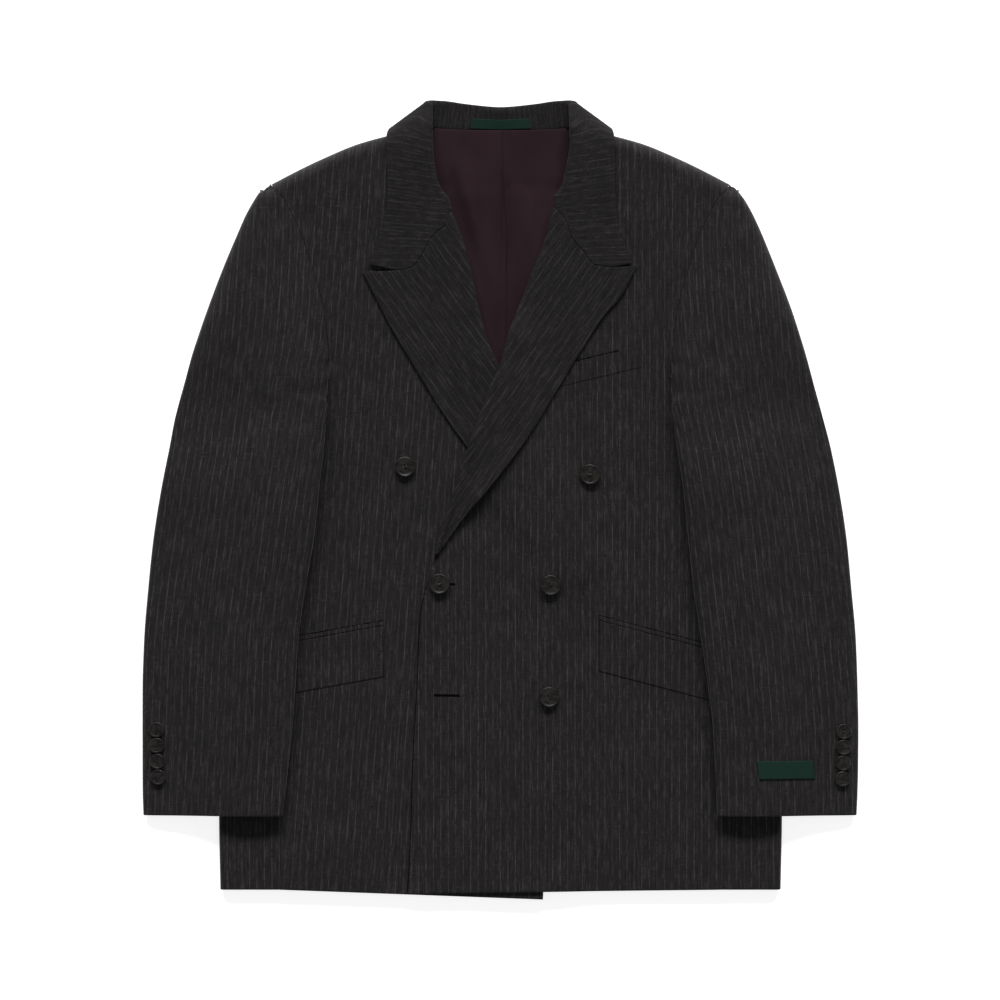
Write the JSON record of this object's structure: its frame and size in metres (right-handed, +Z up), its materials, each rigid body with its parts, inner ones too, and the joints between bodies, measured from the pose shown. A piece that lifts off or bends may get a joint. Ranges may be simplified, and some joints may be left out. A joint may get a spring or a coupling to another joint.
{
  "type": "double breasted blazer",
  "caption": "Pinstriped double breasted blazer with peak lapels, flap pockets and horn buttons, buttoned and laid flat on its back.",
  "frame": {"origin": "centre of the blazer's bounding box on the table it lies on, under its back", "axes": "+X towards the wearer's left, +Y towards the collar, +Z up off the table, out of the blazer's front"},
  "size_m": [0.7169, 0.7999, 0.0348],
  "materials": {
    "suiting": "dark charcoal brown wool with broken pale pinstripes, matte",
    "lining": "plum satin lining, soft sheen",
    "woven_label": "bare dark green woven label",
    "horn": "dark horn-like polished buttons"
  },
  "bodies": {
    "root": {"back_left": "suiting", "back_right": "suiting", "breast_welt": "suiting", "button_cuff_left_1": "horn", "button_cuff_left_2": "horn", "button_cuff_left_3": "horn", "button_cuff_left_4": "horn", "button_cuff_right_1": "horn", "button_cuff_right_2": "horn", "button_cuff_right_3": "horn", "button_cuff_right_4": "horn", "button_front_1": "horn", "button_front_2": "horn", "button_front_3": "horn", "button_front_4": "horn", "button_front_5": "horn", "collar": "suiting", "flap_left": "suiting", "flap_right": "suiting", "front_left": "suiting", "front_right": "suiting", "jet_left": "suiting", "jet_right": "suiting", "label_neck": "woven_label", "label_sleeve": "woven_label", "lapel_left": "suiting", "lapel_right": "suiting", "lining_back": "lining", "side_left": "suiting", "side_right": "suiting", "sleeve_top_left": "suiting", "sleeve_top_left_head": "suiting", "sleeve_top_right": "suiting", "sleeve_top_right_head": "suiting", "sleeve_under_left": "suiting", "sleeve_under_left_head": "suiting", "sleeve_under_left_inner": "suiting", "sleeve_under_right": "suiting", "sleeve_under_right_head": "suiting", "sleeve_under_right_inner": "suiting"}
  },
  "joints": []
}
